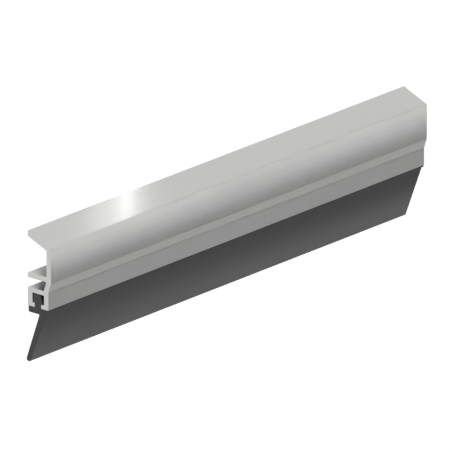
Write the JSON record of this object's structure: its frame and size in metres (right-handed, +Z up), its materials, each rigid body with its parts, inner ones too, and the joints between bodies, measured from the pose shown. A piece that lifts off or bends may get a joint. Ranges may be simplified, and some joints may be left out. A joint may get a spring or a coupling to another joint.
{
  "type": "lip door seal",
  "caption": "Short length of face-fixed lip seal for the foot of a door: an extruded aluminium carrier with a sloping top flange grips a leaning black rubber lip in its groove.",
  "frame": {"origin": "middle of the groove's rear wall, on the face that lies against the door", "axes": "+X along the strip, +Y towards the door, +Z up; the seen face looks along -Y"},
  "size_m": [0.18, 0.0102, 0.0429],
  "materials": {
    "anodised_aluminium": "satin, natural anodised, as extruded",
    "black_rubber": "matt, smooth extruded"
  },
  "bodies": {
    "root": {"carrier_profile": "anodised_aluminium", "lip_seal": "black_rubber"}
  },
  "joints": []
}
